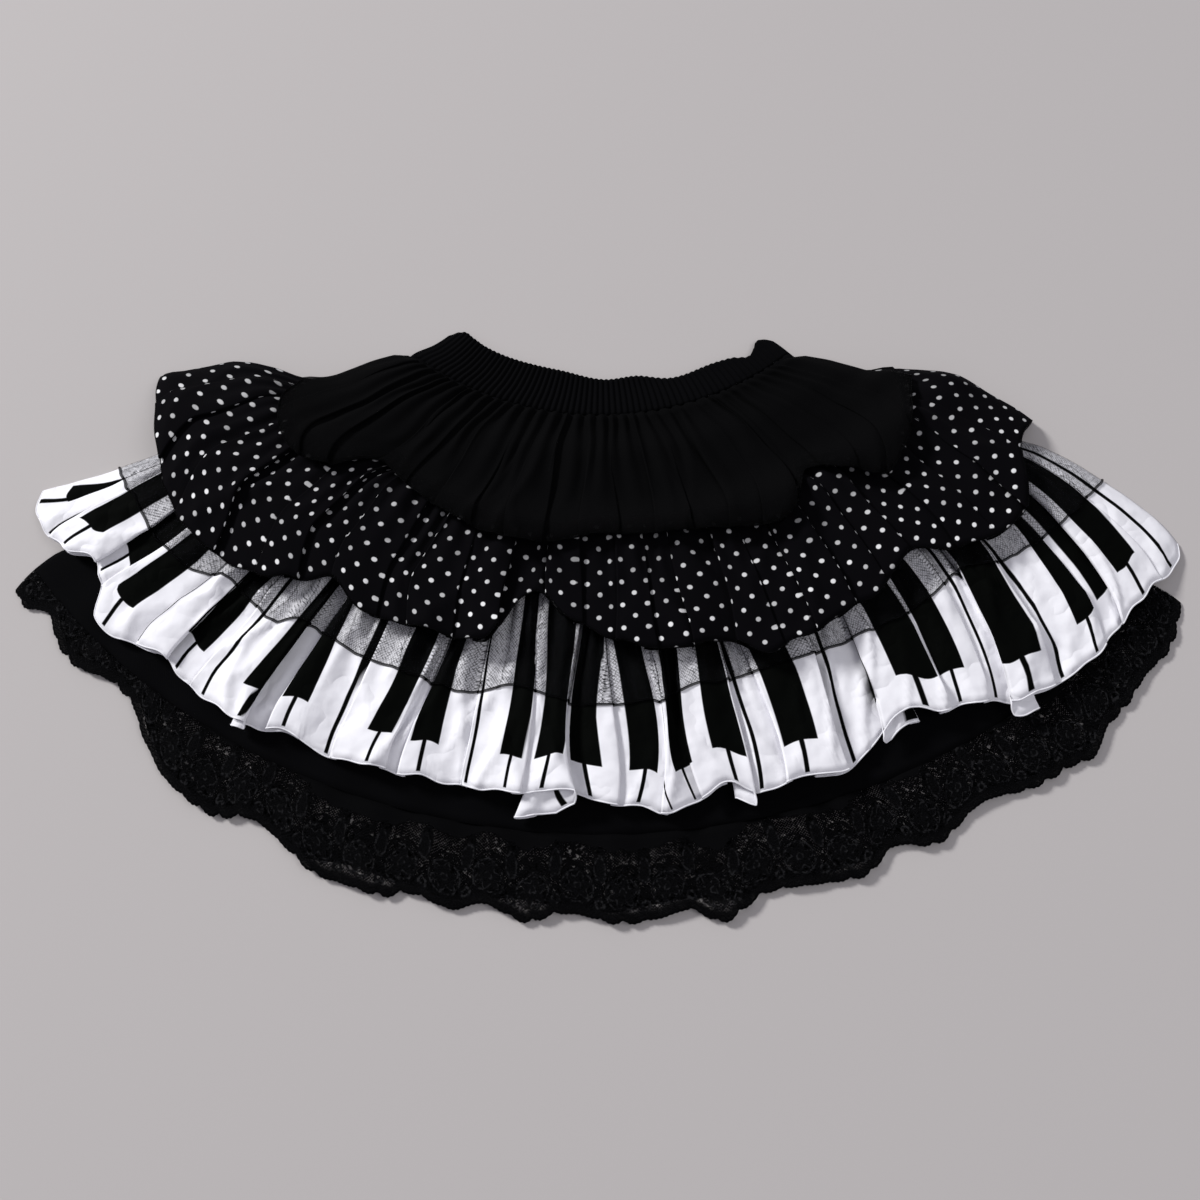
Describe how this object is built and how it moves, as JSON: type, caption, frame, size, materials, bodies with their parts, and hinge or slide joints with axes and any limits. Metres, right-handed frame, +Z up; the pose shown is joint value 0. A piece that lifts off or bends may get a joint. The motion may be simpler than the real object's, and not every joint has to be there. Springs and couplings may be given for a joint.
{
  "type": "ruffled mini skirt",
  "caption": "Tiered ruffle mini skirt laid flat: elastic waistband, plain, dotted and keyboard-print flounces with a tulle overlay, underskirt with a scalloped lace hem.",
  "frame": {"origin": "centre of the bounding box's floor: the surface the skirt lies on", "axes": "+X to the wearer's left as the skirt lies front up (longest extent), +Y towards the waistband, +Z up off the floor (thickness of the laid pile)"},
  "size_m": [0.756, 0.4052, 0.0413],
  "materials": {
    "elastic_cotton": "matte",
    "black_cotton": "matte",
    "black_voile": "satin",
    "dotted_mesh": "matte",
    "tulle": "matte",
    "key_print_satin": "satin",
    "lace": "matte"
  },
  "bodies": {
    "root": {"waistband_front": "elastic_cotton", "waistband_back": "elastic_cotton", "yoke_front": "black_cotton", "yoke_back": "black_cotton", "top_flounce_front": "black_voile", "top_flounce_back": "black_voile", "dot_flounce_front": "dotted_mesh", "dot_flounce_back": "dotted_mesh", "tulle_flounce_front": "tulle", "tulle_flounce_back": "tulle", "key_flounce_front": "key_print_satin", "key_flounce_back": "key_print_satin", "underskirt_front": "black_cotton", "underskirt_back": "black_cotton", "lace_front": "lace", "lace_back": "lace"}
  },
  "joints": []
}
